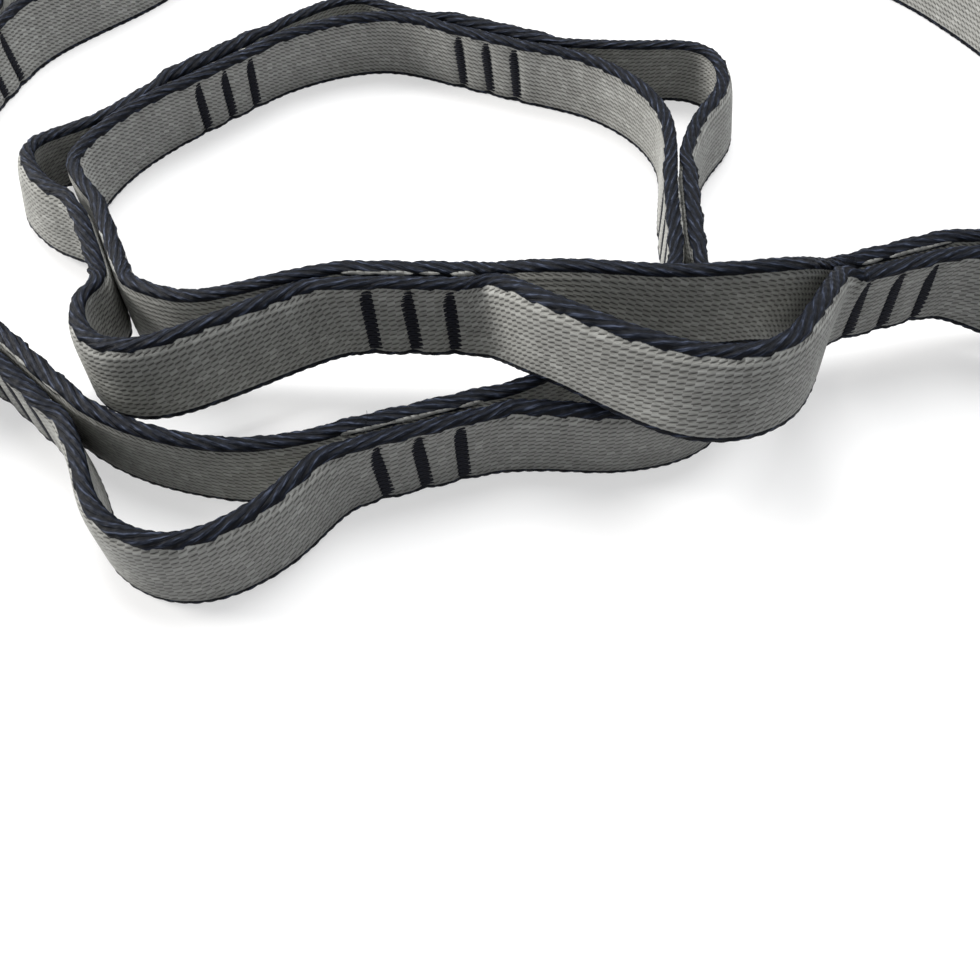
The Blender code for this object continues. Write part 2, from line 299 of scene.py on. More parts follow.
def add_node(tree, kind, inputs=None, **settings):
    """A node of that kind. Its inputs are linked to sockets or set to values."""
    node = tree.nodes.new(kind)
    for name, value in settings.items():
        setattr(node, name, value)
    for name, value in (inputs or {}).items():
        if isinstance(value, bpy.types.NodeSocket):
            tree.links.new(value, node.inputs[name])
        else:
            node.inputs[name].default_value = value
    return node


def set_ramp(node, *stops):
    """Gives a colour ramp its stops, in order, as (position, hex colour)."""
    elements = node.color_ramp.elements
    for position, _ in stops[1:-1]:
        elements.new(position)
    for element, (position, hex_colour) in zip(elements, stops):
        element.position = position
        element.color = linear(hex_colour)
    return node


def new_material(name):
    material = bpy.data.materials.new(name)
    material.use_nodes = True
    tree = material.node_tree
    return material, tree, tree.nodes["Principled BSDF"]


def weave_relief(tree, weave):
    """The relief of the floats, and the column and the row that each float is in.

    Each rib is a row of floats that lie a little slanted, so the thin dark lines between ribs, painted shade
    in the tone, break into short slanted dashes. Each row starts at its own place. The map is in
    millimetres.
    """
    place = add_node(tree, "ShaderNodeSeparateXYZ", {0: weave})
    rib = add_node(tree, "ShaderNodeMath", {0: place.outputs[1], 1: rib_pitch / MM}, operation="DIVIDE")
    row = add_node(tree, "ShaderNodeMath", {0: rib.outputs[0]}, operation="FLOOR")
    shift = add_node(tree, "ShaderNodeTexWhiteNoise", {"W": row.outputs[0]}, noise_dimensions="1D")
    column = add_node(tree, "ShaderNodeMath", {0: place.outputs[0], 1: float_pitch / MM}, operation="DIVIDE")
    column = add_node(tree, "ShaderNodeMath", {0: shift.outputs[0], 1: float_shift_share,
                                               2: column.outputs[0]}, operation="MULTIPLY_ADD")
    column_place = add_node(tree, "ShaderNodeMath", {0: column.outputs[0]}, operation="FRACT")
    slanted = add_node(tree, "ShaderNodeMath", {0: column_place.outputs[0], 1: -float_slant_share,
                                                2: rib.outputs[0]}, operation="MULTIPLY_ADD")
    rib_place = add_node(tree, "ShaderNodeMath", {0: slanted.outputs[0]}, operation="FRACT")
    rib_turn = add_node(tree, "ShaderNodeMath", {0: rib_place.outputs[0], 1: pi}, operation="MULTIPLY")
    rib_bulge = add_node(tree, "ShaderNodeMath", {0: rib_turn.outputs[0]}, operation="SINE")
    rib_crest = add_node(tree, "ShaderNodeMath", {0: rib_bulge.outputs[0], 1: rib_gap_power},
                         operation="POWER")
    float_turn = add_node(tree, "ShaderNodeMath", {0: column_place.outputs[0], 1: pi}, operation="MULTIPLY")
    float_bulge = add_node(tree, "ShaderNodeMath", {0: float_turn.outputs[0]}, operation="SINE")
    between = add_node(tree, "ShaderNodeMath", {0: 1.0, 1: rib_crest.outputs[0]}, operation="SUBTRACT")
    dash_share = add_node(tree, "ShaderNodeMath", {0: float_bulge.outputs[0], 1: dash_bulge_share,
                                                   2: dash_base_share}, operation="MULTIPLY_ADD")
    dash = add_node(tree, "ShaderNodeMath", {0: between.outputs[0], 1: dash_share.outputs[0]},
                    operation="MULTIPLY")
    relief = add_node(tree, "ShaderNodeMath", {0: 1.0, 1: dash.outputs[0]}, operation="SUBTRACT")
    return relief.outputs[0], column.outputs[0], slanted.outputs[0]


def face_yarn(tree, weave):
    """The colour and the height of the grey yarn, whose tone varies from float to float, with painted shade
    in the gaps and painted highlights on a few floats.
    """
    relief, column, slanted = weave_relief(tree, weave)
    stretched = add_node(tree, "ShaderNodeMapping", {
        "Vector": weave, "Scale": (MM / filament_length, MM / filament_width, 1.0)})
    filament = add_node(tree, "ShaderNodeTexNoise", {
        "Vector": stretched.outputs[0], "Scale": 1.0, "Detail": 2.0}, noise_dimensions="2D")
    mottle = add_node(tree, "ShaderNodeTexNoise", {
        "Vector": weave, "Scale": MM / mottle_size, "Detail": 3.0}, noise_dimensions="2D")
    cell_x = add_node(tree, "ShaderNodeMath", {0: column}, operation="FLOOR")
    cell_y = add_node(tree, "ShaderNodeMath", {0: slanted}, operation="FLOOR")
    cell = add_node(tree, "ShaderNodeCombineXYZ", {0: cell_x.outputs[0], 1: cell_y.outputs[0]})
    chance = add_node(tree, "ShaderNodeTexWhiteNoise", {"Vector": cell.outputs[0]}, noise_dimensions="2D")
    # Painted highlight: a few floats, picked at random, are painted paler as if they caught the light
    painted_glint = add_node(tree, "ShaderNodeMath", {0: chance.outputs[0], 1: painted_glint_power}, operation="POWER")
    # Painted shade: the tone follows the relief, so the gaps between floats are painted dark
    tone = add_node(tree, "ShaderNodeMath", {0: relief, 1: relief_shade_tone, 2: tone_base},
                    operation="MULTIPLY_ADD")
    for part, share in ((filament, filament_tone), (chance, float_tone), (painted_glint, painted_glint_tone),
                        (mottle, mottle_tone)):
        tone = add_node(tree, "ShaderNodeMath", {0: part.outputs[0], 1: share, 2: tone.outputs[0]},
                        operation="MULTIPLY_ADD")
    grey = set_ramp(add_node(tree, "ShaderNodeValToRGB", {0: tone.outputs[0]}),
                    (0.05, "#212120"), (0.35, "#5c5c5a"), (0.60, "#898985"), (0.95, "#b6b7b3"))
    height = add_node(tree, "ShaderNodeMath", {0: filament.outputs[0], 1: filament_height_share,
                                               2: relief}, operation="MULTIPLY_ADD")
    return grey.outputs[0], height.outputs[0]


def selvage_cords(tree, weave):
    """The colour and the height of the cords: near-black, with painted pale glints and painted shade in the
    gaps.
    """
    lay = (0, 0, radians(cord_lay_degrees))
    laid = add_node(tree, "ShaderNodeMapping", {
        "Vector": weave, "Rotation": lay, "Scale": (strand_length / MM, strand_width / MM, 1.0)},
        vector_type="TEXTURE")
    strand = add_node(tree, "ShaderNodeTexNoise", {
        "Vector": laid.outputs[0], "Scale": 1.0, "Detail": 3.0}, noise_dimensions="2D")
    turned = add_node(tree, "ShaderNodeMapping", {
        "Vector": weave, "Rotation": lay, "Scale": (cord_pitch / MM, cord_pitch / MM, 1.0)},
        vector_type="TEXTURE")
    over = add_node(tree, "ShaderNodeSeparateXYZ", {0: turned.outputs[0]})
    cord_turn = add_node(tree, "ShaderNodeMath", {0: over.outputs[1], 1: pi}, operation="MULTIPLY")
    cord_wave = add_node(tree, "ShaderNodeMath", {0: cord_turn.outputs[0]}, operation="COSINE")
    cord_crest = add_node(tree, "ShaderNodeMath", {0: cord_wave.outputs[0]}, operation="ABSOLUTE")
    # Painted shade: the gaps between cords are painted darker than their crests
    tone = add_node(tree, "ShaderNodeMath", {0: cord_crest.outputs[0], 1: cord_gap_shade_tone,
                                             2: cord_tone_base}, operation="MULTIPLY_ADD")
    # Painted glints: where the strand noise runs high, the ramp's pale top paints glints on the strands
    tone = add_node(tree, "ShaderNodeMath", {0: strand.outputs[0], 1: strand_and_glint_tone, 2: tone.outputs[0]},
                    operation="MULTIPLY_ADD")
    black = set_ramp(add_node(tree, "ShaderNodeValToRGB", {0: tone.outputs[0]}),
                     (0.25, "#020306"), (0.55, "#070a11"), (0.75, "#121722"), (0.95, "#434a5b"))
    height = add_node(tree, "ShaderNodeMath", {0: strand.outputs[0], 1: strand_height_share,
                                               2: cord_crest.outputs[0]}, operation="MULTIPLY_ADD")
    return black.outputs[0], height.outputs[0]


def webbing_material():
    """Woven nylon webbing: ribs of grey warp floats, and near-black twisted selvages.

    The yarn is matt, so a float that catches the light gets only a little painted highlight in its tone, and
    the cords at the edges stay near black, with painted glints and painted shade between them.
    """
    material, tree, shader = new_material("ribbed nylon webbing")
    weave = add_node(tree, "ShaderNodeUVMap", uv_map="weave").outputs[0]
    dark_edge = add_node(tree, "ShaderNodeAttribute", attribute_name="dark_edge").outputs["Fac"]
    grey, face_height = face_yarn(tree, weave)
    black, cord_height = selvage_cords(tree, weave)
    ragged = add_node(tree, "ShaderNodeTexNoise", {
        "Vector": weave, "Scale": MM / ragged_size, "Detail": 2.0}, noise_dimensions="2D")
    border = add_node(tree, "ShaderNodeMath", {0: ragged.outputs[0], 1: ragged_share, 2: dark_edge},
                      operation="MULTIPLY_ADD")
    cover = add_node(tree, "ShaderNodeMapRange", {0: border.outputs[0], 1: cover_start, 2: cover_end},
                     interpolation_type="SMOOTHSTEP")
    colour = add_node(tree, "ShaderNodeMix", {0: cover.outputs[0], 6: grey, 7: black}, data_type="RGBA")
    height = add_node(tree, "ShaderNodeMix", {0: cover.outputs[0], 2: face_height, 3: cord_height},
                      data_type="FLOAT")
    bump = add_node(tree, "ShaderNodeBump", {
        "Strength": 1.0, "Distance": weave_depth, "Height": height.outputs[0]})
    tree.links.new(colour.outputs[2], shader.inputs["Base Color"])
    tree.links.new(bump.outputs[0], shader.inputs["Normal"])
    shader.inputs["Roughness"].default_value = 0.55
    shader.inputs["Specular IOR Level"].default_value = 0.08
    shader.inputs["IOR"].default_value = 1.53
    return material


def thread_material():
    """Bonded sewing thread: matt black with a faint blue cast and fine plied filaments."""
    material, tree, shader = new_material("bonded sewing thread")
    place = add_node(tree, "ShaderNodeTexCoord").outputs["Object"]
    fibre = add_node(tree, "ShaderNodeTexNoise", {"Vector": place, "Scale": 1 / thread_fibre, "Detail": 3.0})
    black = set_ramp(add_node(tree, "ShaderNodeValToRGB", {0: fibre.outputs[0]}),
                     (0.35, "#06070c"), (0.75, "#171a26"))
    tree.links.new(black.outputs[0], shader.inputs["Base Color"])
    bump = add_node(tree, "ShaderNodeBump", {
        "Strength": thread_relief_strength, "Distance": thread_relief, "Height": fibre.outputs[0]})
    tree.links.new(bump.outputs[0], shader.inputs["Normal"])
    shader.inputs["Roughness"].default_value = 0.60
    shader.inputs["Specular IOR Level"].default_value = 0.12
    shader.inputs["IOR"].default_value = 1.53
    return material


def seen_mix(tree, plain, seen):
    """One shader for the light it throws on the object, another where it is looked at or mirrored."""
    path = add_node(tree, "ShaderNodeLightPath")
    looks = add_node(tree, "ShaderNodeMath", {0: path.outputs["Is Camera Ray"],
                                              1: path.outputs["Is Glossy Ray"]}, operation="MAXIMUM")
    looks = add_node(tree, "ShaderNodeMath", {0: looks.outputs[0], 1: path.outputs["Is Transmission Ray"]},
                     operation="MAXIMUM")
    return add_node(tree, "ShaderNodeMixShader", {0: looks.outputs[0], 1: plain, 2: seen}).outputs[0]


def table_material():
    """A matt white table: white with soft shadows where it is looked at or mirrored.

    It throws little light back at the object.
    """
    material, tree, shader = new_material("matt white table")
    shader.inputs["Base Color"].default_value = linear("#b4b4b6")
    shader.inputs["Roughness"].default_value = 0.9
    shader.inputs["Specular IOR Level"].default_value = 0.1
    lit = add_node(tree, "ShaderNodeBsdfDiffuse", {"Color": linear("#fafafa")})
    glow = add_node(tree, "ShaderNodeEmission", {"Color": (1, 1, 1, 1), "Strength": 1.0})
    seen = add_node(tree, "ShaderNodeMixShader", {
        0: table_glow_share, 1: lit.outputs[0], 2: glow.outputs[0]})
    mix = seen_mix(tree, shader.outputs[0], seen.outputs[0])
    tree.links.new(mix, tree.nodes["Material Output"].inputs[0])
    return material


# Routes, the same as those of the solids but read off finely

def to_plan(x_share, y_share):
    centre_x_share, centre_y_share = plan_centre_shares
    return (x_share - centre_x_share) * pocket_length, (y_share - centre_y_share) * pocket_length


def half_height(lean, half_thickness):
    """Height of a leaning strap's middle over its lowest corner."""
    return web_width / 2 * cos(radians(lean)) + half_thickness * abs(sin(radians(lean)))


def station_frame(number):
    """X runs along the strand, Y to the load ply and Z up the webbing."""
    x_share, y_share, heading, lean, rise_share = station_shares[number]
    x, y = to_plan(x_share, y_share)
    z = rise_share * crossing_rise + half_height(lean, stack_radius)
    turn = Matrix.Rotation(radians(heading), 4, "Z") @ Matrix.Rotation(-radians(lean), 4, "X")
    return Matrix.Translation((x, y, z)) @ turn


def hinge_frame(station, outward):
    """The joint axis at a station's end: X points from the station into what swings."""
    end = Matrix.Translation((outward * half_station, 0, 0))
    turn = Matrix.Rotation(0 if outward > 0 else pi, 4, "Z")
    return station_frame(station) @ end @ turn


def station_point(number, side, along, across=ply_offset):
    """A point of a ply at a station: place, and lean in degrees."""
    place = station_frame(number) @ Vector((along, side * across, 0))
    height = (station_frame(number) @ Vector((along, side * ply_offset, 0))).z
    return Vector((place.x, place.y, height, station_shares[number][3]))


def passing_point(x_share, y_share, rise_share, lean):
    x, y = to_plan(x_share, y_share)
    z = rise_share * crossing_rise + half_height(lean, web_thickness / 2)
    return Vector((x, y, z, lean))


def level_direction(matrix, sign=1):
    along = matrix.to_3x3() @ Vector((sign, 0, 0))
    return Vector((along.x, along.y, 0, 0)).normalized()


def smooth_run(points, first_direction, last_direction):
    """Cubic Hermite curve through the points, stepped as finely as the mesh."""
    tangents = [first_direction]
    for before, after in zip(points, points[2:]):
        tangents.append((after - before) / (after.xy - before.xy).length)
    tangents.append(last_direction)
    run = [points[0]]
    for index, (start, end) in enumerate(zip(points, points[1:])):
        reach = (end.xy - start.xy).length
        steps = max(1, ceil(reach / ring_step))
        for step in range(1, steps + 1):
            t = step / steps
            run.append((2 * t**3 - 3 * t**2 + 1) * start
                       + (t**3 - 2 * t**2 + t) * reach * tangents[index]
                       + (3 * t**2 - 2 * t**3) * end
                       + (t**3 - t**2) * reach * tangents[index + 1])
    return run


def ply_middle(face, side, first_direction, last_direction):
    """From the line of the face that looks into the pocket to the ply's centre line."""
    middle = []
    for index, point in enumerate(face):
        if index == 0:
            along = first_direction
        elif index == len(face) - 1:
            along = last_direction
        else:
            along = face[index + 1] - face[index - 1]
        outward = side * Vector((-along.y, along.x)).normalized()
        reach = web_thickness / 2 * cos(radians(point.w))
        middle.append(Vector((*(point.xy + reach * outward), point.z, point.w)))
    return middle


def pocket_route(pocket, side):
    """A ply's centre line, from under a bar tack of one station to under one of the next."""
    before, after = pocket, pocket + 1
    shares = slack_route_shares if side == slack_side else load_route_shares
    directions = [level_direction(station_frame(number)) for number in (before, after)]
    points = [station_point(before, side, half_station + lead_length, fit_gap / 2)]
    points += [passing_point(*place) for place in shares.get(pocket, ())]
    points.append(station_point(after, side, -half_station - lead_length, fit_gap / 2))
    run = ply_middle(smooth_run(points, *directions), side, *directions)
    first_along = tack_spacing if pocket > last_middle_pocket else -tack_spacing
    last_along = -tack_spacing if pocket < last_middle_pocket else tack_spacing
    return [station_point(before, side, first_along - ply_lap), *run,
            station_point(after, side, last_along + ply_lap)]


def loop_route(frame_at_hinge, length, width):
    """Out along one ply, round the bight and back along the other, tack to tack."""
    side_points = [(lead_length, ply_offset)]
    side_points += [(x_share * length, y_share * width) for x_share, y_share in loop_outline_shares]
    outline = [(x, -y) for x, y in side_points] + [(x, y) for x, y in reversed(side_points)]
    points = [Vector((*(frame_at_hinge @ Vector((x, y, 0))), 0)) for x, y in outline]
    run = smooth_run(points, level_direction(frame_at_hinge), level_direction(frame_at_hinge, -1))
    start = -(half_station - tack_spacing) - ply_lap
    ends = [Vector((*(frame_at_hinge @ Vector((start, side * ply_offset, 0))), 0)) for side in (-1, 1)]
    return [ends[0], *run, ends[1]]


def distance_along(places):
    """How far each place lies along the line through all of them."""
    return np.concatenate([[0], np.cumsum(np.linalg.norm(np.diff(places, axis=0), axis=1))])


def even_route(route):
    """The route at even steps, eased so that its bends flow as webbing's do. Rows of x, y, z, lean."""
    rows = np.array([tuple(point) for point in route])
    reach = distance_along(rows[:, :3])
    count = ceil(reach[-1] / ring_step)
    even = np.linspace(0, reach[-1], count + 1)
    rows = np.stack([np.interp(even, reach, rows[:, k]) for k in range(4)], axis=1)
    for _ in range(relax_passes):
        rows[1:-1] = (rows[:-2] + 2 * rows[1:-1] + rows[2:]) / 4
    return rows


# Webbing

def section_points():
    """Places round the section: up the outer face, over the top, down the inner face and back.

    Columns are the place across the thickness, the height, the outward direction of the
    surface in those two, and the distance round the section from the outer face's middle.
    """
    half = web_thickness / 2
    edge_height = web_width / 2 - face_half
    face = np.linspace(-face_half, face_half, rib_count * points_per_rib + 1)
    turn = np.linspace(0, pi, selvage_points + 2)[1:-1]
    flat = np.ones_like(face)
    top = np.stack([half * np.cos(turn), face_half + edge_height * np.sin(turn),
                    np.cos(turn), np.sin(turn)], axis=1)
    outer = np.stack([half * flat, face, flat, 0 * flat], axis=1)
    half_section = np.concatenate([outer, top])
    rows = np.concatenate([half_section, -half_section])
    rows = np.concatenate([rows, rows[:1]])
    distance = distance_along(rows[:, :2])
    return np.concatenate([rows, distance[:, None] - face_half], axis=1)


def ring_frames(route):
    """The left-hand and upward directions of the webbing at each step of a route."""
    along = np.gradient(route[:, :3], axis=0)
    along /= np.linalg.norm(along, axis=1)[:, None]
    left = np.stack([-along[:, 1], along[:, 0], 0 * along[:, 0]], axis=1)
    left /= np.linalg.norm(left, axis=1)[:, None]
    up = np.cross(along, left)
    lean = np.radians(route[:, 3])[:, None]
    return left * np.cos(lean) - up * np.sin(lean), up * np.cos(lean) + left * np.sin(lean)


def wavering(distances, wavelength, seed):
    """Smooth noise along a ply, the same on each run."""
    return np.array([noise.noise(Vector((d / wavelength, seed, 0))) for d in distances])


def eased(values):
    """A smooth step from 0 to 1 over the values' own 0 to 1."""
    t = np.clip(values, 0, 1)
    return t * t * (3 - 2 * t)


def tack_closeness(reach, tacks):
    """How much each ring is pinched by a bar tack, is in a station, and flares beside one."""
    near = [np.abs(reach - tack) for tack in tacks]
    pinch = sum(np.exp(-(gap / pinch_reach) ** 2) for gap in near)
    past = np.min(near, axis=0) - tack_spacing / 2
    return pinch, 1 - eased(past / tack_margin), 1 - eased(past / flare_reach)


def edge_darkness(section, along, station, side):
    """How far each place lies inside the dark edges, and how much of a cord stands there.

    The dark cords reach further down the faces than into the groove between the plies.
    """
    height = section[:, 1]
    outer_share = (1 + section[:, 0] / (web_thickness / 2)) / 2
    wedge = along + edge_wander_length * wavering(along, wander_length, wedge_seed * side)
    wedge = wedge / wedge_length - np.floor(wedge / wedge_length)
    wedge = wedge_depth * wedge ** wedge_power * eased((1 - wedge) / wedge_return_share)
    inner_bound = dark_top_inner + station * (dark_top_groove - dark_top_inner)
    top_bound = np.outer(dark_top_outer - wedge, outer_share) + np.outer(inner_bound, 1 - outer_share)
    dark = np.maximum(height - top_bound, -height - dark_bottom)
    cord = eased(dark / selvage_fade)
    streak = streak_share + wavering(along, edge_wander_length, streak_seed * side)
    shoulder = np.exp(-((section[:, 3] - streak_tilt) / streak_spread) ** 2)
    shoulder *= (section[:, 2] < 0) * (height > 0) * (side == load_side)
    dark -= streak_depth * np.outer(station * np.maximum(streak, 0), shoulder)
    return dark, cord


def surface_relief(section, along, cord, station, pinch):
    """How far the surface stands out: cords at the edges, ribs on the faces, pillows between tacks."""
    height = section[:, 1]
    girth = section[:, 4] + face_half
    lay = radians(cord_lay_degrees)
    over = (girth * cos(lay) - along[:, None] * sin(lay)) / cord_pitch
    cords = np.abs(np.cos(pi * over)) ** cord_roundness
    stagger = twist_stagger * np.floor(over + 0.5)
    twist = np.cos(2 * pi * (along[:, None] / twist_pitch + over + stagger))
    bead = selvage_bead * np.where(height > 0, 1, bottom_bead_share)
    relief = cord * (bead + cord_ridge * (cords - cord_level) + twist_ridge * twist)
    on_face = (np.abs(height) <= face_half + weld) * (1 - cord)
    ribs = np.abs(np.sin(pi * (height + face_half) / rib_pitch)) ** rib_roundness
    relief += rib_height * on_face * ribs
    outer_face = eased((web_width / 2 - np.abs(height)) / (web_width / 2 - dark_top_outer))
    outer_face = outer_face * (section[:, 0] > 0)
    drawn_in = pillow_height * station - (pinch_depth + pillow_height) * pinch
    return relief + drawn_in[:, None] * outer_face


def woven_mesh(name, places, along, girth, dark):
    """A grid that takes these places, is welded along its seam and is closed at its ends."""
    rings, around = len(along) - 1, len(girth) - 1
    model = bmesh.new()
    bmesh.ops.create_grid(model, x_segments=rings, y_segments=around, size=0.5)
    mesh = bpy.data.meshes.new(name)
    model.to_mesh(mesh)
    flat = np.zeros(len(mesh.vertices) * 3)
    mesh.vertices.foreach_get("co", flat)
    ring, point = np.rint((flat.reshape(-1, 3)[:, :2] + 0.5) * (rings, around)).astype(int).T
    mesh.vertices.foreach_set("co", places[ring, point].ravel())
    corner = np.zeros(len(mesh.loops), dtype=np.int32)
    mesh.loops.foreach_get("vertex_index", corner)
    weave = np.stack([along[ring[corner]], girth[point[corner]]], axis=1) / MM
    mesh.uv_layers.new(name="weave").data.foreach_set("uv", weave.ravel())
    mesh.attributes.new("dark_edge", "FLOAT", "POINT").data.foreach_set("value", dark[ring, point] / MM)
    model.clear()
    model.from_mesh(mesh)
    bmesh.ops.remove_doubles(model, verts=model.verts, dist=weld)
    ends = [item for item in model.edges if item.is_boundary]
    for item in ends:
        item.smooth = False
    bmesh.ops.holes_fill(model, edges=ends)
    bmesh.ops.recalc_face_normals(model, faces=model.faces)
    return model, mesh


def webbing_piece(name, route, side, start, tacks, material):
    """A ply of webbing swept along a route.

    side says which way its outer face looks, start is how far along the sling it begins, and
    tacks are the places of the bar tacks along it.
    """
    section = section_points()
    height = section[:, 1]
    left, up = ring_frames(route)
    reach = distance_along(route[:, :3])
    along = start + reach
    pinch, station, spread = tack_closeness(reach, tacks)
    dark, cord = edge_darkness(section, along, station, side)
    relief = surface_relief(section, along, cord, station, pinch)

    # Slow wavering, and the edges drawn in at the tacks
    drift = wander * (1 - station) * wavering(along, wander_length, side)
    edge = np.sign(height) * (np.abs(height) / (web_width / 2)) ** edge_power
    edge_drift = edge_wander * wavering(along, edge_wander_length, edge_wander_seed * side)
    curl = top_curl * (side == slack_side) * (1 - spread)
    flare = np.outer(station_flare * spread - curl, np.maximum(edge, 0))
    across = side * (section[:, 0] + section[:, 2] * relief + flare) + drift[:, None]
    upward = height + section[:, 3] * relief - np.outer(pinch_edge * pinch, edge)
    upward += np.outer(edge_drift, np.maximum(edge, 0))
    places = route[:, None, :3] + across[..., None] * left[:, None] + upward[..., None] * up[:, None]

    model, mesh = woven_mesh(name, places, along, section[:, 4] + face_half, dark)
    return finish_piece(name, model, mesh, material)


def finish_piece(name, model, mesh, material):
    """Turns a bmesh into a shaded piece of the chain."""
    model.to_mesh(mesh)
    model.free()
    mesh.shade_smooth()
    mesh.materials.append(material)
    piece = bpy.data.objects.new(name, mesh)
    bpy.context.scene.collection.objects.link(piece)
    return piece


# Bar tacks

def sweep_thread(model, path, radius, sides):
    """A closed thread along a path, made by drawing a circle on from point to point."""
    made = bmesh.ops.create_circle(model, cap_ends=False, segments=sides, radius=radius)
    ring = made["verts"]
    edges = list(dict.fromkeys(edge for vert in ring for edge in vert.link_edges))
    placed = Matrix.Identity(4)
    first = edges
    for index, point in enumerate(path):
        before, after = path[max(index - 1, 0)], path[min(index + 1, len(path) - 1)]
        turn = (after - before).to_track_quat("Z", "Y").to_matrix().to_4x4()
        target = Matrix.Translation(point) @ turn
        if index:
            grown = bmesh.ops.extrude_edge_only(model, edges=edges)["geom"]
            ring = [item for item in grown if isinstance(item, bmesh.types.BMVert)]
            edges = [item for item in grown if isinstance(item, bmesh.types.BMEdge)
                     and all(vert in ring for vert in item.verts)]
        bmesh.ops.transform(model, matrix=target @ placed.inverted(), verts=ring)
        placed = target
    bmesh.ops.holes_fill(model, edges=first + edges)


def bar_tack_mesh():
    """One bar tack, flat on the plane y = 0 with its thread toward +Y and its bar along Z.

    The needle swings from side to side once for each rib, and the thread dives at each turn.
    """
    path = []
    for swing in range(2 * rib_count + 1):
        sign = 1 if swing % 2 else -1
        height = -face_half + swing * rib_pitch / 2
        level = height + rib_pitch / 2
        step = rib_pitch / 2 * tack_core_half_width / (2 * tack_half_width)
        path.append(Vector((sign * tack_half_width, -tack_thread, height)))
        if swing < 2 * rib_count:
            path.append(Vector((sign * tack_core_half_width, tack_thread / 2, height + step)))
            path.append(Vector((-sign * tack_core_half_width, tack_thread / 2, level - step)))
    model = bmesh.new()
    sweep_thread(model, path, tack_thread, thread_sides)
    bmesh.ops.recalc_face_normals(model, faces=model.faces)
    mesh = bpy.data.meshes.new("bar_tack")
    model.to_mesh(mesh)
    model.free()
    return mesh


def stray_direction(seed, index, places):
    """A direction for a loose filament, the same on each run once the noise has its seed."""
    step, second, third = places
    return noise.noise_vector(Vector((seed + step * index, second, third)))


def add_fray(model, root, seed):
    """A tuft of loose filaments that rise from a place and curl over."""
    shares = [step / fray_steps for step in range(fray_steps + 1)]
    for index in range(fray_count):
        aim = stray_direction(seed, index, fray_aim_seed)
        curl = stray_direction(seed, index, fray_curl_seed)
        foot = root + fray_spread * Vector((curl.y, aim.z, 0))
        rise = fray_length * Vector((aim.x, aim.y, fray_rise_share))
        fall = fray_length * Vector((curl.x, curl.y, -fray_fall_share))
        path = [foot + rise * share + fall * share**2 for share in shares]
        sweep_thread(model, path, fray_thread, fray_sides)


def tack_piece(number, tack, material):
    """The three bar tacks of a station, on both outer faces, and the thread that joins them.

    A station where the webbing has frayed also has its tuft of loose filaments.
    """
    model = bmesh.new()
    place = station_frame(number)
    slack_face = stack_radius
    if number == splice_station:
        slack_face += fit_gap + web_thickness
    for side, face in ((load_side, stack_radius), (slack_side, slack_face)):
        outward = Matrix.Rotation(0 if side > 0 else pi, 4, "Z")
        for row in tack_rows:
            slant = side * tack_slant_degrees * (1 + noise.noise(Vector((number, row, side)) + tack_seed))
            seat = Matrix.Translation((row * tack_spacing, side * (face - pinch_depth + tack_lift), 0))
            turn = Matrix.Rotation(radians(slant), 4, "Y")
            before = len(model.verts)
            model.from_mesh(tack)
            model.verts.ensure_lookup_table()
            bmesh.ops.transform(model, matrix=place @ seat @ turn @ outward, verts=model.verts[before:])
    level = face_half - tack_thread
    carry = [Vector((share * tack_spacing, -slack_face - carry_sag * abs(sin(pi * share)), level))
             for share in np.linspace(-1, 1, carry_points)]
    sweep_thread(model, [place @ point for point in carry], tack_thread / 2, thread_sides)
    if number in frays:
        add_fray(model, place @ Vector((frays[number], ply_offset, web_width / 2)), number)
    bmesh.ops.recalc_face_normals(model, faces=model.faces)
    mesh = bpy.data.meshes.new("bar_tack_thread")
    return finish_piece(f"bar_tack_thread_{number:02d}", model, mesh, material)


# Assembly

def body_of_station(number):
    if number < first_middle_pocket:
        return f"start_link_{number}"
    if number > last_middle_pocket + 1:
        return f"end_link_{number - 1}"
    return "middle_chain"


def bend_across(piece):
    """Bakes the piece's placement into its mesh; the piece is not bent."""
    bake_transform(piece)


def finish_webbing(piece, node, body=None):
    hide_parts(node)
    if body:
        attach(piece, body)


webbing = webbing_material()
thread = thread_material()

sling_place = {load_side: 0.0, slack_side: 0.0}
for pocket in range(1, last_pocket + 1):
    for side, ply in ((load_side, "load"), (slack_side, "slack")):
        route = even_route(pocket_route(pocket, side))
        length = distance_along(route[:, :3])[-1]
        rows_before = len(tack_rows) if pocket <= last_middle_pocket else 1
        rows_after = len(tack_rows) if pocket >= last_middle_pocket else 1
        tacks = [ply_lap + row * tack_spacing for row in range(rows_before)]
        tacks += [length - ply_lap - row * tack_spacing for row in range(rows_after)]
        start = sling_place[side] - ply_lap
        piece = webbing_piece(f"{ply}_webbing_{pocket:02d}", route, side, start, tacks, webbing)
        sling_place[side] += length - 2 * ply_lap
        node = f"pocket_{pocket:02d}_{ply}_ply"
        if pocket < first_middle_pocket:
            bend_across(piece)
            finish_webbing(piece, node)
        elif pocket > last_middle_pocket:
            bend_across(piece)
            finish_webbing(piece, node)
        else:
            finish_webbing(piece, node, "middle_chain")

for name, station, outward, length, width in (
        ("girth_loop", 1, -1, girth_loop_length, girth_loop_width),
        ("clip_loop", last_station, 1, clip_loop_length, clip_loop_width)):
    hinge = hinge_frame(station, outward)
    route = even_route(loop_route(hinge, length, width))
    around = distance_along(route[:, :3])[-1]
    piece = webbing_piece(f"{name}_webbing", route, slack_side, 0.0, [ply_lap, around - ply_lap], webbing)
    bend_across(piece)
    finish_webbing(piece, name)

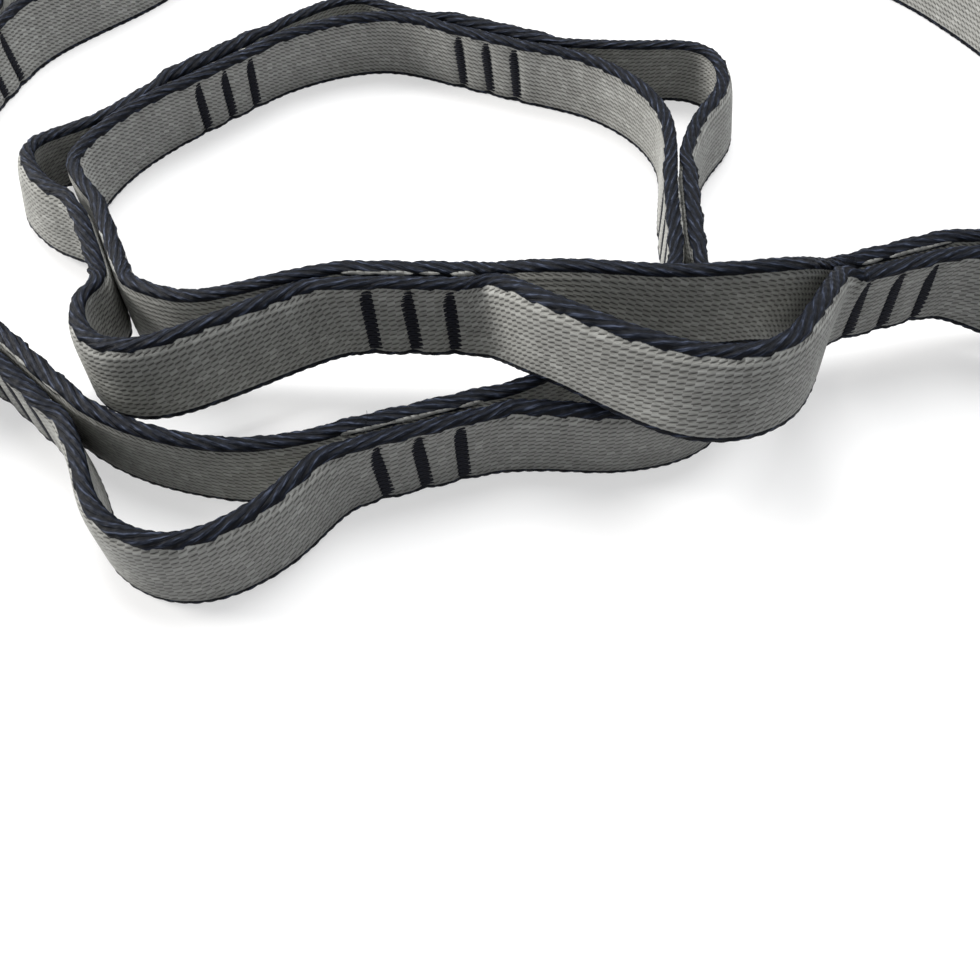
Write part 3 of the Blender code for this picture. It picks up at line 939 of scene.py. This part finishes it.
# The third ply of the splice, with its cut ends
splice_middle = -stack_radius - fit_gap - web_thickness / 2
splice_reach = tack_spacing + tack_half_width
splice_ends = [station_frame(splice_station) @ Vector((along, splice_middle, 0))
               for along in (-splice_reach, splice_reach)]
splice_tacks = [splice_reach + row * tack_spacing for row in tack_rows]
splice = webbing_piece("splice_webbing", even_route([Vector((*place, 0)) for place in splice_ends]),
                       slack_side, 0.0, splice_tacks, webbing)
finish_webbing(splice, "splice_overlap", body_of_station(splice_station))

# Unseeded, the vector noise of the loose filaments would follow the clock
noise.seed_set(fray_noise_seed)

tack = bar_tack_mesh()
for number in station_shares:
    piece = tack_piece(number, tack, thread)
    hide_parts(f"bar_tacks_{number:02d}")
    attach(piece, body_of_station(number))


# Stage

def add_area_light(name, place, size, power, hex_colour):
    light = bpy.data.lights.new(name, "AREA")
    light.shape = "DISK"
    light.size = size
    light.energy = power
    light.color = linear(hex_colour)[:3]
    lamp = bpy.data.objects.new(name, light)
    lamp.location = place
    lamp.rotation_euler = (Vector(lamp_target) - Vector(place)).to_track_quat("-Z", "Y").to_euler()
    bpy.context.scene.collection.objects.link(lamp)


def add_table():
    model = bmesh.new()
    bmesh.ops.create_grid(model, x_segments=1, y_segments=1, size=table_half_size)
    mesh = bpy.data.meshes.new("table")
    model.to_mesh(mesh)
    model.free()
    mesh.materials.append(table_material())
    table = bpy.data.objects.new("table", mesh)
    bpy.context.scene.collection.objects.link(table)


def set_world():
    """Even pale light all round, which is white where it is looked at or mirrored."""
    world = bpy.data.worlds.new("studio")
    world.use_nodes = True
    bpy.context.scene.world = world
    tree = world.node_tree
    light = tree.nodes["Background"]
    light.inputs["Color"].default_value = linear("#f3f5f8")
    light.inputs["Strength"].default_value = world_strength
    white = add_node(tree, "ShaderNodeBackground", {"Color": (1, 1, 1, 1), "Strength": 1.0})
    mix = seen_mix(tree, light.outputs[0], white.outputs[0])
    tree.links.new(mix, tree.nodes["World Output"].inputs[0])


def add_camera():
    """The photograph's view: a close look from above, over the near side of the spiral."""
    camera = bpy.data.cameras.new("camera")
    camera.sensor_width = sensor_width
    camera.lens = sensor_width * focal_pixels / picture_pixels
    holder = bpy.data.objects.new("camera", camera)
    x_share, y_share = plan_centre_shares
    holder.location = (camera_right - x_share * pocket_length,
                       camera_back - y_share * pocket_length, camera_height)
    holder.rotation_euler = (radians(90 - camera_pitch), 0, 0)
    bpy.context.scene.collection.objects.link(holder)
    bpy.context.scene.camera = holder


add_table()
set_world()
add_camera()
for lamp in lamps:
    add_area_light(*lamp)
bpy.context.scene.view_settings.view_transform = "Standard"
